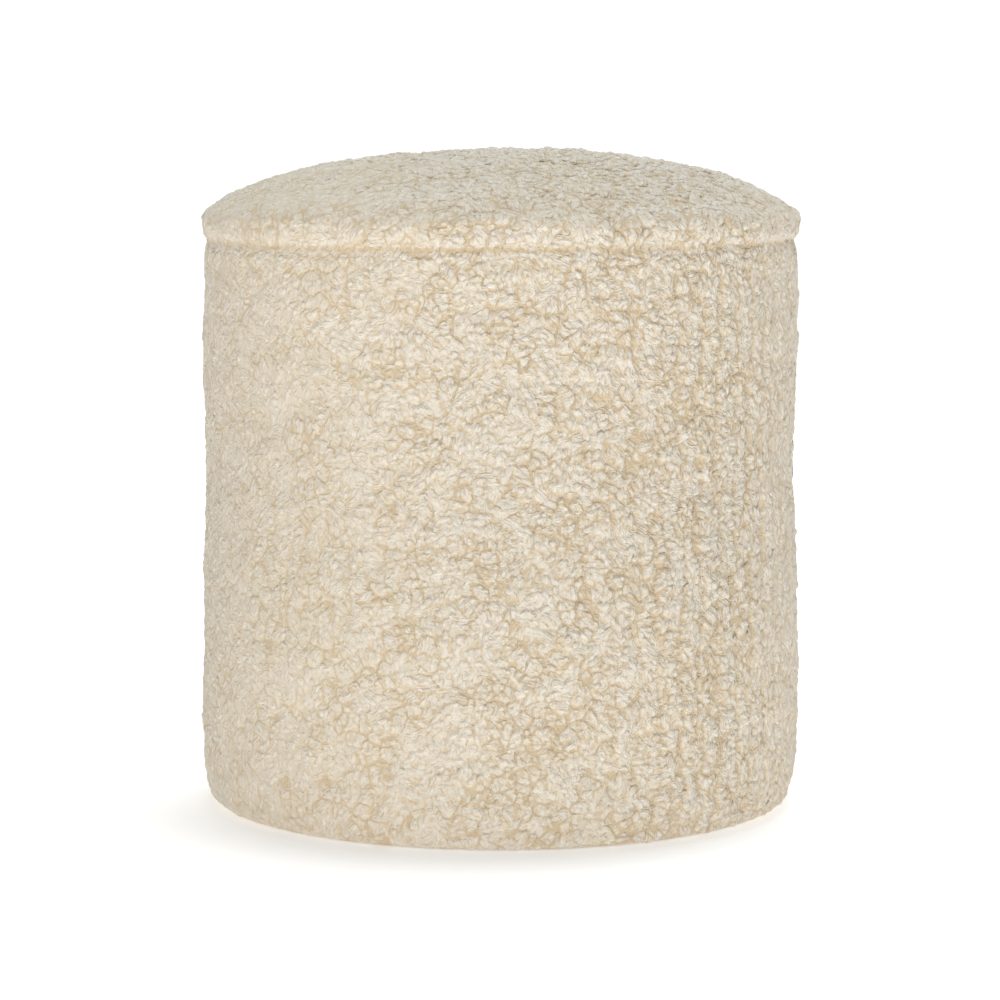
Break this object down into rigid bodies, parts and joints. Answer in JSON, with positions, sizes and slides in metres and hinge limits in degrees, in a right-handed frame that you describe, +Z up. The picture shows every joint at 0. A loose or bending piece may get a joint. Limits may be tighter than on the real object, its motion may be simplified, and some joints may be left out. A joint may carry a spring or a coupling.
{
  "type": "pouf",
  "caption": "Round free-standing pouf in curly wool pile, with a crowned top panel over a tall side panel and a flat base, for use as a low seat or footrest.",
  "frame": {"origin": "middle of the flat base, on the plane that the pouf rests on", "axes": "+Z up along the pouf's round axis, -Y towards the side that the picture shows, +X to the right in the picture"},
  "size_m": [0.4055, 0.4058, 0.4382],
  "materials": {
    "curly_pile": "cream curly wool pile, matt with a soft sheen on the curls",
    "base_cloth": "plain matt woven base cloth"
  },
  "bodies": {
    "root": {"top_panel": "curly_pile", "side_panel": "curly_pile", "base_panel": "base_cloth"}
  },
  "joints": []
}
